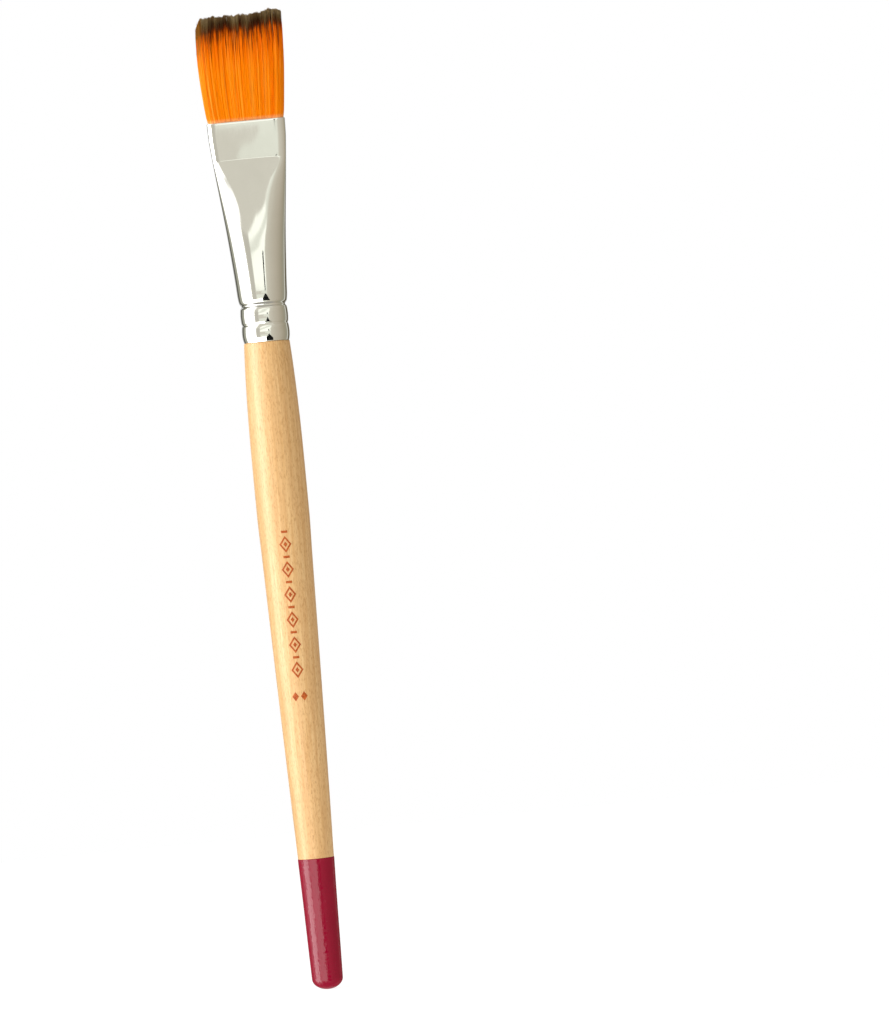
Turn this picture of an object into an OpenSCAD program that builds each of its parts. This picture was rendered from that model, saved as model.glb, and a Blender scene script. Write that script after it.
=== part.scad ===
// Flat brush: a lacquered wooden handle, a crimped metal ferrule and a wide flat tuft of filaments.
// It stands on +Z with the tail of the handle at the origin; the wide face of the tuft looks along -Y.

/* [Handle] */
// Length of the handle from its tail to the rim of the ferrule
handle_len = 134.5; // [128:0.5:150]
// Radius of the thickest stretch, which a rack or a clip holds
grip_r = 5.44; // [5.1:0.02:5.8]
// Length of that straight stretch
grip_len = 10; // [6:1:14]
// Radius of the wood where it meets the rim of the ferrule
neck_r = 4.75; // [4.6:0.05:4.9]
// Radius of the wood at the top of the dipped end
dip_top_r = 3.74; // [3.5:0.02:3.9]
// Radius of the rounded tail, lacquer included
tail_r = 2.95; // [2.7:0.05:3.2]
// Length of the dipped end
dip_len = 27.3; // [20:0.5:34]
// Thickness of the coloured lacquer
dip_t = 0.08; // [0.06:0.01:0.15]

/* [Ferrule] */
// Length of the ferrule
ferrule_len = 46; // [42:0.5:52]
// Thickness of the metal
wall = 0.35; // [0.25:0.05:0.4]
// Radius of the tube where it is still round, above the crimps
tube_r = 5.2; // [5:0.01:5.4]
// Width of the mouth
mouth_w = 16.24; // [14.5:0.1:17]
// Thickness of the mouth
mouth_t = 3.9; // [3.6:0.1:4.4]
// Length of the pressed flat below the mouth
flat_len = 7.9; // [6:0.1:10]

/* [Tuft] */
// Length of the filaments outside the ferrule
tuft_out = 22.5; // [20:0.1:26]
// Width of the tuft where it is widest
tuft_w = 18.28; // [17.5:0.1:19.5]
// Thickness of the tuft above the mouth
tuft_t = 3.5; // [3.2:0.1:3.7]
// Thickness of the tuft at its tips
tip_t = 1.3; // [0.9:0.1:1.8]
// How many locks the filaments gather in
lock_count = 12; // [12:1:12]

/* [Hidden] */
$fn = 64;

CURVE_STEPS = 6;     // straight steps along one stretch of a curve
ARC_STEPS = 12;      // straight steps round a tip or a dome
RING = 40;           // points round one section of the ferrule
EPS = 0.01;          // how far a cutting shape runs past what it cuts

// Heights, from the tail at zero.
mouth_z = handle_len + ferrule_len;
top_z = mouth_z + tuft_out;
crease_z = mouth_z - flat_len;
grip_z = handle_len - 30;            // middle of the straight stretch
round_z = handle_len + 10;           // the tube is round up to here
spread_z = handle_len + 19.5;        // the tube flattens evenly from here to the crease
tenon_top_z = handle_len + 17;       // end of the wood inside the ferrule
tenon_taper_z = handle_len + 12.5;   // its point starts here
SPREAD_STEPS = 5;
function spread_level(k) = spread_z + k * (crease_z - spread_z) / SPREAD_STEPS;
plug_z = spread_level(2);            // underside of the resin
root_z = spread_level(4);            // lower ends of the filaments

// The tuft bends about a line a little above the mouth.
bend_z = mouth_z + 0.15 * tuft_out;
bend_r = tuft_t / 2;
seat_gap = 0.15;     // free space between the bending locks and the fixed roots
seat_drop = 0.95;    // the roots end this far below the bending line
lock_gap = 0.06;     // free space between two locks

// Crimped collar of the ferrule: [height above the rim, outer radius], with smooth waves between.
collar = [
    [0, neck_r - 0.13], [1.9, neck_r + 0.21], [3.75, neck_r - 0.04],
    [5.7, neck_r + 0.22], [7.65, neck_r - 0.23], [round_z - handle_len, tube_r]
];
COLLAR_STEP = 0.5;
tenon_r = neck_r - 0.32;
glue_least = 0.06;

// Curve through stations [height, value, slope]: a cubic between each two.
function cubic(p, q, t) =
    let (h = q[0] - p[0])
    (2 * t ^ 3 - 3 * t ^ 2 + 1) * p[1] + (3 * t ^ 2 - 2 * t ^ 3) * q[1]
    + (t ^ 3 - 2 * t ^ 2 + t) * h * p[2] + (t ^ 3 - t ^ 2) * h * q[2];

// Number of the stretch of a list of stations that holds height z.
function stretch(stations, z) =
    let (above = [for (i = [0:len(stations) - 2]) if (z <= stations[i + 1][0]) i])
    len(above) > 0 ? above[0] : len(stations) - 2;
function curve_at(stations, z) =
    let (i = stretch(stations, z), p = stations[i], q = stations[i + 1])
    cubic(p, q, (z - p[0]) / (q[0] - p[0]));

// Heights from low to high in even steps.
function levels(low, high, steps) = [for (k = [0:steps]) low + k * (high - low) / steps];
function reversed(list) = [for (i = [len(list) - 1:-1:0]) list[i]];

// Wood of the handle: [height, radius, slope].
wood_stations = [
    [tail_r, tail_r - dip_t, 0.075],
    [handle_len * 0.09, tail_r + 0.29, 0.03],
    [dip_len, dip_top_r, 0.0262],
    [handle_len * 0.34, dip_top_r + 0.48, 0.025],
    [grip_z - grip_len / 2 - 9.5, grip_r - 0.21, 0.022],
    [grip_z - grip_len / 2, grip_r, 0],
    [grip_z + grip_len / 2, grip_r, 0],
    [handle_len, neck_r, -0.062]
];
// One step is enough where the radius stays the same, so the grip is a single cylinder.
wood_heights = [
    for (i = [0:len(wood_stations) - 2])
        let (
            low = wood_stations[i], high = wood_stations[i + 1],
            steps = low[1] == high[1] ? 1 : CURVE_STEPS
        )
        each [for (k = [0:steps - 1]) low[0] + k * (high[0] - low[0]) / steps]
];
function dome(r) = [
    for (i = [1:ARC_STEPS - 1]) let (a = 90 * i / ARC_STEPS) [r * sin(a), tail_r - r * cos(a)]
];

// Ferrule above the collar: half width and half thickness of its outside.
width_stations = [
    [round_z, tube_r, 0.05],
    [spread_z, tube_r + 0.66, 0.075],
    [crease_z, mouth_w / 2 - 0.48, 0.09],
    [mouth_z - 3.5, mouth_w / 2 - 0.1, 0.07],
    [mouth_z, mouth_w / 2, 0.01]
];
thick_stations = [
    [round_z, tube_r, -0.01],
    [spread_z, tube_r - 0.28, -0.056],
    [crease_z - 11.6, tube_r - 0.97, -0.135],
    [crease_z, mouth_t / 2 + 0.17, -0.2],
    [crease_z + 2.2, mouth_t / 2, -0.01],
    [mouth_z, mouth_t / 2, 0]
];

// Tuft: half width, and half thickness above the bending line.
tuft_stations = [
    [mouth_z, mouth_w / 2, 0.08],
    [mouth_z + 8.3, tuft_w / 2 - 0.25, 0.06],
    [mouth_z + 15.5, tuft_w / 2, 0],
    [top_z, tuft_w / 2 - 0.4, -0.08]
];
body_stations = [
    [bend_z, bend_r, 0],
    [bend_z + 7, bend_r - 0.12, -0.05],
    [top_z, tip_t / 2, -0.06]
];
// How far each lock's tip stays below the top of the tuft, from left to right.
lock_drops = [0.75, 0.56, 0.6, 0.5, 0.55, 0.6, 0.5, 0.52, 0.4, 0.3, 0, 0.1];
tip_round = 0.6;

// Stamped foil: a chain of open lozenges and bars up the front of the handle.
foil_t = 0.03;
foil_low_z = grip_z - 38;
foil_pitch = 5.2;
foil_links = 6;
foil_half = 1.25;             // half width of a lozenge
foil_tall = 1.4;              // height of a lozenge for its width
foil_line = 0.42;             // width of its line
foil_bar = [1.3, 0.5];        // bar between two lozenges
size_mark_z = foil_low_z - 5.5;
size_mark_half = 0.7;
size_mark_apart = 1.8;

// Outer radius of the collar at height u above the rim.
function collar_r(u) =
    let (
        i = stretch(collar, u), p = collar[i], q = collar[i + 1],
        t = (u - p[0]) / (q[0] - p[0])
    )
    p[1] + (q[1] - p[1]) * (1 - cos(180 * t)) / 2;
collar_heights = [for (u = [0:COLLAR_STEP:round_z - handle_len + EPS]) u];
// The collar's inside is a ring of flats, and the cement fits inside them.
function cement_r(u) = (collar_r(u) - wall) * cos(180 / RING);
function tenon_side_r(u) = min(tenon_r, cement_r(u) - glue_least);

// One section of the ferrule, a circle that turns into a flat oval, taken in by inset.
function section(z, inset) =
    let (
        round = z < round_z, h = min(z, mouth_z),
        a = round ? collar_r(z - handle_len) : curve_at(width_stations, h),
        b = round ? a : curve_at(thick_stations, h),
        edge = sin(360 / RING)
    )
    [
        for (k = [0:RING - 1])
            let (c = cos(360 * k / RING), s = sin(360 * k / RING), side = max(-1, min(1, c / edge)))
            [(a - b) * side + (b - inset) * c, (b - inset) * s, z]
    ];

// Faces between the rings that start at points number p and q, seen from outside.
function band(p, q) = [
    for (k = [0:RING - 1])
        let (n = (k + 1) % RING)
        each [[p + k, q + n, p + n], [p + k, q + k, q + n]]
];
function flipped(faces) = [for (f = faces) [f[0], f[2], f[1]]];

// Solid between the lowest and the highest of the heights.
module loft(heights, inset) {
    count = len(heights);
    polyhedron(
        points = [for (z = heights) each section(z, inset)],
        faces = concat(
            [for (i = [0:count - 2]) each band(i * RING, (i + 1) * RING)],
            [[for (k = [0:RING - 1]) k]],
            [[for (k = [RING - 1:-1:0]) (count - 1) * RING + k]]
        )
    );
}

// Open tube between the lowest and the highest of the heights.
module tube_loft(heights, thickness) {
    count = len(heights);
    inner = count * RING;
    last = (count - 1) * RING;
    polyhedron(
        points = concat(
            [for (z = heights) each section(z, 0)],
            [for (z = heights) each section(z, thickness)]
        ),
        faces = concat(
            [for (i = [0:count - 2]) each band(i * RING, (i + 1) * RING)],
            [for (i = [0:count - 2]) each flipped(band(inner + i * RING, inner + (i + 1) * RING))],
            band(inner, 0),
            band(last, inner + last)
        )
    );
}
spread_heights = concat(
    levels(round_z, spread_z, 4), [for (k = [1:SPREAD_STEPS]) spread_level(k)]
);
pressed_heights = [crease_z + 0.7, crease_z + 1.4, crease_z + 2.2, mouth_z - 3.5, mouth_z];

module handle() {
    tenon = [for (u = collar_heights) [tenon_side_r(u), handle_len + u]];
    color("burlywood")
        rotate_extrude()
            polygon(concat(
                [[0, dip_t]],
                dome(tail_r - dip_t),
                [for (z = wood_heights) [curve_at(wood_stations, z), z]],
                [[neck_r, handle_len]],
                tenon,
                [[tenon_r, tenon_taper_z], [tenon_r - 0.75, tenon_top_z], [0, tenon_top_z]]
            ));
}

// Coloured lacquer over the tail, a skin on the wood.
module dip_coat() {
    heights = [for (z = wood_heights) if (z < dip_len) z];
    wood = [for (z = heights) [curve_at(wood_stations, z), z]];
    color("#96203c")
        rotate_extrude()
            polygon(concat(
                [[0, 0]],
                dome(tail_r),
                [for (p = wood) [p[0] + dip_t, p[1]]],
                [[dip_top_r + dip_t, dip_len - dip_t], [dip_top_r, dip_len]],
                reversed(wood),
                reversed(dome(tail_r - dip_t)),
                [[0, dip_t]]
            ));
}

// Skin of foil on the wood between two heights, before it is cut to its marks.
module foil_skin(low_z, high_z) {
    inner_levels = [for (z = wood_heights) if (z > low_z && z < high_z) z];
    heights = concat([low_z], inner_levels, [high_z]);
    wood = [for (z = heights) [curve_at(wood_stations, z), z]];
    rotate_extrude()
        polygon(concat(reversed(wood), [for (p = wood) [p[0] + foil_t, p[1]]]));
}

// Mark that lies on the front of the handle.
module on_front(z) {
    translate([0, 0, z])
        rotate([90, 0, 0])
            linear_extrude(2 * grip_r)
                children();
}

module lozenge(half_w) {
    half_h = half_w * foil_tall;
    polygon([[half_w, 0], [0, half_h], [-half_w, 0], [0, -half_h]]);
}

// Open lozenge with a small solid one in its middle.
module eyed_lozenge() {
    difference() {
        lozenge(foil_half);
        lozenge(foil_half - foil_line);
    }
    lozenge(foil_half - 2 * foil_line);
}

module foil_border() {
    color("#8a5a2b")
        intersection() {
            foil_skin(foil_low_z - foil_pitch / 2, foil_low_z + foil_links * foil_pitch);
            for (i = [0:foil_links - 1]) {
                on_front(foil_low_z + i * foil_pitch)
                    eyed_lozenge();
                on_front(foil_low_z + (i + 0.5) * foil_pitch)
                    square(foil_bar, center = true);
            }
        }
}

// Two small lozenges below the chain, where brushes carry a size mark.
module foil_size_mark() {
    color("#8a5a2b")
        intersection() {
            foil_skin(size_mark_z - 2 * size_mark_half, size_mark_z + 2 * size_mark_half);
            for (side = [-1, 1])
                on_front(size_mark_z)
                    translate([side * size_mark_apart / 2, 0])
                        lozenge(size_mark_half);
        }
}

// Thin cement between the tenon and the crimped collar.
module tenon_glue() {
    outside = [for (u = collar_heights) [cement_r(u), handle_len + u]];
    inside = [for (u = collar_heights) [tenon_side_r(u), handle_len + u]];
    color("#e8dcae")
        rotate_extrude()
            polygon(concat(outside, reversed(inside)));
}

module ferrule() {
    collar_levels = [for (u = collar_heights) if (handle_len + u < round_z - EPS) handle_len + u];
    color("#d9d8d0")
        tube_loft(concat(collar_levels, spread_heights, pressed_heights), wall);
}

// Resin that holds the lower ends of the filaments.
module epoxy_plug() {
    color("#c98a2e")
        loft([plug_z, spread_level(3), root_z], wall + EPS);
}

// Side of one lock in the front view, at line number k of the lines that part the locks.
function parting(stations, k, heights, gap) = [
    for (z = heights) [(2 * k / lock_count - 1) * curve_at(stations, z) + gap, z]
];
function left_edge(stations, number, heights) =
    parting(stations, number - 1, heights, lock_gap / 2);
function right_edge(stations, number, heights) =
    reversed(parting(stations, number, heights, -lock_gap / 2));

// Fixed stretch of a lock, from the resin up to just above the mouth.
module root(number) {
    top = bend_z - seat_drop;
    heights = concat(levels(root_z - EPS, mouth_z, 4), [top + EPS]);
    color("#f07a12")
        difference() {
            intersection() {
                loft(concat([root_z, crease_z], pressed_heights, [top]), wall + EPS);
                rotate([90, 0, 0])
                    linear_extrude(2 * tube_r, center = true)
                        polygon(concat(
                            left_edge(width_stations, number, heights),
                            right_edge(width_stations, number, heights)
                        ));
            }
            translate([0, 0, bend_z])
                rotate([0, 90, 0])
                    cylinder(h = 2 * tuft_w, r = bend_r + seat_gap, center = true);
        }
}

// Side view of the locks: round at the foot, where they bend, and thin at the tip.
module lock_side() {
    heights = levels(bend_z, top_z, 2 * CURVE_STEPS);
    translate([0, bend_z])
        circle(r = bend_r);
    polygon(concat(
        [for (z = heights) [curve_at(body_stations, z), z]],
        [for (z = reversed(heights)) [-curve_at(body_stations, z), z]]
    ));
}

// One free lock of filaments.
module lock(number) {
    tip_z = top_z - lock_drops[number - 1];
    shoulder_z = tip_z - tip_round;
    heights = levels(bend_z - bend_r, shoulder_z, 2 * CURVE_STEPS);
    wide = curve_at(tuft_stations, shoulder_z);
    middle = (2 * number - 1 - lock_count) / lock_count * wide;
    half = wide / lock_count - lock_gap / 2;
    tip = [
        for (i = [1:ARC_STEPS - 1])
            let (a = 180 * i / ARC_STEPS) [middle - half * cos(a), shoulder_z + tip_round * sin(a)]
    ];
    color("#f58220")
        intersection() {
            rotate([90, 0, 90])
                linear_extrude(2 * tuft_w, center = true)
                    lock_side();
            rotate([90, 0, 0])
                linear_extrude(2 * tuft_t, center = true)
                    polygon(concat(
                        left_edge(tuft_stations, number, heights),
                        tip,
                        right_edge(tuft_stations, number, heights)
                    ));
        }
}

function numbered(name, number) = str(name, number < 10 ? "_0" : "_", number);

handle();
dip_coat();
foil_border();
foil_size_mark();
tenon_glue();
ferrule();
epoxy_plug();
for (number = [1:lock_count]) {
    root(number);
    lock(number);
}
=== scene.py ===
import math

import bpy
import numpy as np
from mathutils import Matrix, Vector


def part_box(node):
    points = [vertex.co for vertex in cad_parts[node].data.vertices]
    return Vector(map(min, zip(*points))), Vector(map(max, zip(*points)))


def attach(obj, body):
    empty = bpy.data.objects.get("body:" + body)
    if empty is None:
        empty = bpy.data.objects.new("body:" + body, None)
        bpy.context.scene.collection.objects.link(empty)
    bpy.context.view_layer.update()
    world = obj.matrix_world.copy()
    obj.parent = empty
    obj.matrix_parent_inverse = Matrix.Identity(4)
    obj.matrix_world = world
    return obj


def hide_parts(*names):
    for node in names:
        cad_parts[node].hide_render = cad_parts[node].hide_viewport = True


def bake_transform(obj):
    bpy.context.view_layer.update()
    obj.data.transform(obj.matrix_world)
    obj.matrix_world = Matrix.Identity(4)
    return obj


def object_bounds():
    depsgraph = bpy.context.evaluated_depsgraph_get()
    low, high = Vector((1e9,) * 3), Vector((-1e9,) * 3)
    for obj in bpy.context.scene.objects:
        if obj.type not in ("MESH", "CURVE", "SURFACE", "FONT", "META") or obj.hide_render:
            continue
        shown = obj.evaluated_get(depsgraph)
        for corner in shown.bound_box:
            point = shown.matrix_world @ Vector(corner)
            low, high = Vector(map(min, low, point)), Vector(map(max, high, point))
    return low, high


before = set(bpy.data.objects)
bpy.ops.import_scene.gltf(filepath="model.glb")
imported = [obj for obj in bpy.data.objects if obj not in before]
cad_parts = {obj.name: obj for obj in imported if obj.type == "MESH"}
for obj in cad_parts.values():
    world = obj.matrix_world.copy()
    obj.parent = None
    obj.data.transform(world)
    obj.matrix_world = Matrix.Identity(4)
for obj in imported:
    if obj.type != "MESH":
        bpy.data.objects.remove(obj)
cad_low, cad_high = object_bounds()

MM = 0.001

# Places taken from the CAD nodes.
RIM_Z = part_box("ferrule")[0].z
MOUTH_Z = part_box("ferrule")[1].z
DIP_TOP_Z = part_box("dip_coat")[1].z
LOCKS = sorted(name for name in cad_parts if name.startswith("lock_"))

# The camera looks square on to the wide face from far away, and the brush leans to the left.
LENS_MM = 200.0
SENSOR_MM = 36.0
SEEN_HEIGHT = 0.212
LEAN = math.radians(5.45)
BRUSH_LEFT_OF_MIDDLE = 33.65 * MM
BRUSH_ABOVE_MIDDLE = 2.3 * MM
NEAREST_SEEN, FARTHEST_SEEN = 0.01, 50


def make_camera():
    right = Vector((math.cos(LEAN), 0, -math.sin(LEAN)))
    up = Vector((math.sin(LEAN), 0, math.cos(LEAN)))
    back = right.cross(up)
    middle = (cad_low + cad_high) / 2
    target = middle + right * BRUSH_LEFT_OF_MIDDLE - up * BRUSH_ABOVE_MIDDLE
    distance = SEEN_HEIGHT * LENS_MM / SENSOR_MM
    data = bpy.data.cameras.new("camera")
    data.lens = LENS_MM
    data.sensor_width = SENSOR_MM
    data.clip_start = NEAREST_SEEN
    data.clip_end = FARTHEST_SEEN
    camera = bpy.data.objects.new("camera", data)
    turn = Matrix((right, up, back)).transposed()
    camera.matrix_world = Matrix.Translation(target + back * distance) @ turn.to_4x4()
    bpy.context.scene.collection.objects.link(camera)
    bpy.context.scene.camera = camera


# ---------------------------------------------------------------- shader helpers


def add(tree, kind, inputs=None, **settings):
    """A shader node with its settings, and with its inputs linked or set."""
    made = tree.nodes.new("ShaderNode" + kind)
    for key, value in settings.items():
        setattr(made, key, value)
    for key, value in (inputs or {}).items():
        feed(tree, made.inputs[key], value)
    return made


def feed(tree, socket, value):
    """Link value to a socket if it is an output, or set it there."""
    if isinstance(value, bpy.types.NodeSocket):
        tree.links.new(value, socket)
    else:
        socket.default_value = value


def calc(tree, operation, *values):
    made = add(tree, "Math", operation=operation)
    for socket, value in zip(made.inputs, values):
        feed(tree, socket, value)
    return made.outputs[0]


def ranged(tree, value, low, high, to_low=0.0, to_high=1.0, smooth=False):
    """value mapped from low..high to to_low..to_high, and held at the ends."""
    made = add(tree, "MapRange", interpolation_type="SMOOTHSTEP" if smooth else "LINEAR")
    for key, item in zip(("Value", "From Min", "From Max", "To Min", "To Max"),
                         (value, low, high, to_low, to_high)):
        feed(tree, made.inputs[key], item)
    return made.outputs["Result"]


def product(tree, first, *others):
    for other in others:
        first = calc(tree, "MULTIPLY", first, other)
    return first


def between(tree, value, low, high):
    """1 where value lies between low and high, and 0 elsewhere."""
    return calc(tree, "COMPARE", value, (low + high) / 2, (high - low) / 2)


def mixed(tree, factor, a, b):
    """Colour a where factor is 0, and b where it is 1."""
    made = add(tree, "Mix", data_type="RGBA")
    feed(tree, made.inputs["Factor"], factor)
    for socket, value in zip([s for s in made.inputs if s.type == "RGBA"], (a, b)):
        feed(tree, socket, value)
    return next(s for s in made.outputs if s.type == "RGBA")


def ramped(tree, value, colours):
    """Colour that follows value through (value, colour) stops."""
    ramp = add(tree, "ValToRGB", {"Fac": value})
    stops = ramp.color_ramp.elements
    while len(stops) < len(colours):
        stops.new(0.5)
    for stop, (position, colour) in zip(stops, colours):
        stop.position = position
        stop.color = colour
    return ramp.outputs["Color"]


def noise(tree, per_mm, detail=3.0, roughness=0.5):
    """Noise around 0.5, with its fineness per millimetre along x, y and z."""
    coordinates = add(tree, "TexCoord").outputs["Object"]
    scale = [fineness / MM for fineness in per_mm]
    vector = add(tree, "Mapping", {"Vector": coordinates, "Scale": scale}).outputs["Vector"]
    inputs = {"Vector": vector, "Scale": 1.0, "Detail": detail, "Roughness": roughness}
    return add(tree, "TexNoise", inputs).outputs["Fac"]


def rgb(red, green, blue):
    """Linear colour from the 0 to 255 values of a screen colour."""
    def linear(value):
        value /= 255
        return value / 12.92 if value <= 0.04045 else ((value + 0.055) / 1.055) ** 2.4
    return (linear(red), linear(green), linear(blue), 1.0)


def new_material(name):
    material = bpy.data.materials.new(name)
    material.use_nodes = True
    material.node_tree.nodes.clear()
    return material, material.node_tree


def principled(tree, settings):
    shader = add(tree, "BsdfPrincipled", settings)
    output = add(tree, "OutputMaterial")
    tree.links.new(shader.outputs["BSDF"], output.inputs["Surface"])
    return shader


def bump(tree, height, strength, distance):
    made = add(tree, "Bump", {"Height": height, "Strength": strength, "Distance": distance})
    return made.outputs["Normal"]


# ---------------------------------------------------------------- studio

# The metal and the lacquer mirror a studio all round the brush. Directions are in degrees: azimuth
# is 0 where the camera stands and 90 at the right, and height is 0 level with the brush.

# Light level with the brush: azimuth and colour. Two stops close together are an edge.
RING = [
    (-180, (0.6, 0.6, 0.6)),
    (-154, (0.6, 0.6, 0.6)),
    (-150, (0.12, 0.12, 0.1)),
    (-134, (0.12, 0.12, 0.1)),
    (-130, (0.4, 0.4, 0.34)),
    (-114, (0.4, 0.4, 0.34)),
    (-108, (1.7, 1.7, 1.7)),
    (-70, (2.0, 2.0, 2.0)),
    (-48, (1.5, 1.5, 1.5)),
    (-45, (0.6, 0.58, 0.52)),
    (-28, (0.6, 0.58, 0.52)),
    (-24, (0.87, 0.89, 0.81)),
    (21, (0.87, 0.89, 0.81)),
    (27, (0.67, 0.64, 0.56)),
    (48, (0.58, 0.54, 0.46)),
    (70, (0.52, 0.47, 0.39)),
    (106, (0.38, 0.34, 0.26)),
    (112, (0.36, 0.34, 0.27)),
    (126, (0.36, 0.34, 0.27)),
    (129, (0.7, 0.7, 0.66)),
    (134, (0.7, 0.7, 0.66)),
    (138, (0.14, 0.12, 0.08)),
    (158, (0.14, 0.12, 0.08)),
    (162, (0.6, 0.6, 0.6)),
    (180, (0.6, 0.6, 0.6)),
]
WHITE = (1, 1, 1, 1)
GREY = (0.72, 0.7, 0.63, 1)
CARD_BRIGHT = (1.22, 1.24, 1.16, 1)
STAND_DARK = (0.01, 0.01, 0.01, 1)
FAR_GREY = (0.36, 0.35, 0.33, 1)
# The ceiling and the ground take over between these heights, and the same below as above.
FAR_FROM, FAR_FULL = 50, 62
# Share of the studio's light that falls on dull surfaces.
DULL_SHARE = 0.6

# The pale card in front of the brush, and how far the ring moves to the right beyond its two ends:
# from and to which height, and by how much at each.
CARD_LEFT, CARD_RIGHT = -28.0, 20.0
LEFT_LEAN = (9.0, 16.0, 0.0, 10.0)
RIGHT_LEAN = (8.0, 14.0, 0.0, 9.0)
# The card's bright part grows from nothing to full between the two values of each pair: at its left,
# right and foot, and along a slant at its upper right corner.
BRIGHT_LEFT, BRIGHT_RIGHT, BRIGHT_FOOT = (CARD_LEFT, -24.0), (26.0, 22.0), (3.2, 3.8)
CORNER_SLOPE, CORNER_FADE = 0.6, (34.2, 32.8)
# A dim band crosses it, along a line given by its slope and its height at azimuth 0. The card is
# dim up to the first distance from the line, and bright from the second on.
DIM_LINE, DIM_HALF = (0.11, 11.4), (0.8, 2.2)
# The card's top edge is such a line too, held between two heights. Grey stands over the card
# between two azimuths.
TOP_LINE, TOP_WITHIN, TOP_SOFT = (0.226, 17.8), (11.0, 18.3), 0.7
OVER_CARD = (-45.0, 41.0)
# A grey sheet low in front, with a slope and an azimuth at height 0 for its right edge.
SHEET_EDGE, SHEET_SOFT, SHEET_HEIGHTS = (1.25, -2.1), 0.15, (-6.0, 2.6)
# A grey box below the sheet, with a line for its top edge.
BOX_LINE, BOX_SOFT, BOX_WIDE, BOX_FOOT = (-0.15, -2.2), 0.1, (CARD_LEFT, 14.0), -6.0
# A dark stand a little right of the camera. Its half width is the sum of a foot that narrows
# upwards and a head that widens: from and to which height, and how much at each.
STAND_AZIMUTH, STAND_HEIGHTS = 17.0, (-30.0, 8.0)
STAND_FOOT = (-22.0, -3.0, 21.0, -0.5)
STAND_HEAD = (2.0, 4.0, 0.0, 2.6)


def ring_light(tree, azimuth):
    stops = [((degrees + 180) / 360, (*colour, 1)) for degrees, colour in RING]
    return ramped(tree, ranged(tree, azimuth, -180, 180), stops)


def ray_angles(tree):
    """Azimuth and height that a ray comes from."""
    direction = add(tree, "SeparateXYZ", {"Vector": add(tree, "TexCoord").outputs["Generated"]})
    x, y, z = direction.outputs
    azimuth = calc(tree, "DEGREES", calc(tree, "ARCTAN2", x, calc(tree, "MULTIPLY", y, -1.0)))
    height = calc(tree, "DEGREES", calc(tree, "ARCSINE", z))
    return azimuth, height


def leaning_azimuth(tree, azimuth, height):
    """Azimuth to look up in the ring, where what stands beside the card leans to the right."""
    left = ranged(tree, height, *LEFT_LEAN, smooth=True)
    left = calc(tree, "MULTIPLY", left, calc(tree, "LESS_THAN", azimuth, CARD_LEFT))
    right = ranged(tree, height, *RIGHT_LEAN, smooth=True)
    right = calc(tree, "MULTIPLY", right, calc(tree, "GREATER_THAN", azimuth, CARD_RIGHT))
    return calc(tree, "SUBTRACT", calc(tree, "SUBTRACT", azimuth, left), right)


def card_bands(tree, azimuth, height, leaning):
    """Share of the card's bright light: two bands on a slant, with the dim band between them."""
    off_dim = calc(tree, "SUBTRACT", height, calc(tree, "MULTIPLY_ADD", azimuth, *DIM_LINE))
    off_corner = calc(tree, "MULTIPLY_ADD", azimuth, CORNER_SLOPE, height)
    bands = product(
        tree,
        ranged(tree, height, *BRIGHT_FOOT),
        ranged(tree, calc(tree, "ABSOLUTE", off_dim), *DIM_HALF),
        ranged(tree, off_corner, *CORNER_FADE),
    )
    on_card = product(tree, ranged(tree, leaning, *BRIGHT_LEFT), ranged(tree, leaning, *BRIGHT_RIGHT))
    return product(tree, bands, on_card)


def above_card(tree, azimuth, height, leaning):
    low, high = TOP_WITHIN
    top = calc(tree, "MAXIMUM", calc(tree, "MULTIPLY_ADD", azimuth, *TOP_LINE), low)
    top = calc(tree, "MINIMUM", top, high)
    over = ranged(tree, calc(tree, "SUBTRACT", height, top), -TOP_SOFT, TOP_SOFT, smooth=True)
    return product(tree, over, between(tree, leaning, *OVER_CARD))


def low_sheet(tree, azimuth, height):
    right = calc(tree, "MULTIPLY_ADD", height, *SHEET_EDGE)
    inside = ranged(tree, calc(tree, "SUBTRACT", right, azimuth), -SHEET_SOFT, SHEET_SOFT)
    past_left = calc(tree, "GREATER_THAN", azimuth, CARD_LEFT)
    return product(tree, inside, past_left, between(tree, height, *SHEET_HEIGHTS))


def low_box(tree, azimuth, height):
    top = calc(tree, "MULTIPLY_ADD", azimuth, *BOX_LINE)
    under = ranged(tree, calc(tree, "SUBTRACT", top, height), -BOX_SOFT, BOX_SOFT)
    above_foot = calc(tree, "GREATER_THAN", height, BOX_FOOT)
    return product(tree, under, between(tree, azimuth, *BOX_WIDE), above_foot)


def dark_stand(tree, azimuth, height):
    low, high = STAND_HEIGHTS
    half = calc(tree, "ADD", ranged(tree, height, *STAND_FOOT), ranged(tree, height, *STAND_HEAD))
    off_middle = calc(tree, "ABSOLUTE", calc(tree, "SUBTRACT", azimuth, STAND_AZIMUTH))
    inside = calc(tree, "LESS_THAN", off_middle, half)
    above_foot = calc(tree, "GREATER_THAN", height, low)
    return product(tree, inside, above_foot, calc(tree, "LESS_THAN", height, high))


def studio_light(tree):
    """Colour of the studio in the direction that a ray comes from."""
    azimuth, height = ray_angles(tree)
    leaning = leaning_azimuth(tree, azimuth, height)
    light = ring_light(tree, leaning)
    light = mixed(tree, card_bands(tree, azimuth, height, leaning), light, CARD_BRIGHT)
    light = mixed(tree, above_card(tree, azimuth, height, leaning), light, GREY)
    light = mixed(tree, low_sheet(tree, azimuth, height), light, GREY)
    light = mixed(tree, low_box(tree, azimuth, height), light, GREY)
    light = mixed(tree, dark_stand(tree, azimuth, height), light, STAND_DARK)
    for side in (1, -1):
        far = ranged(tree, height, side * FAR_FROM, side * FAR_FULL, smooth=True)
        light = mixed(tree, far, light, FAR_GREY)
    return light


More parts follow.
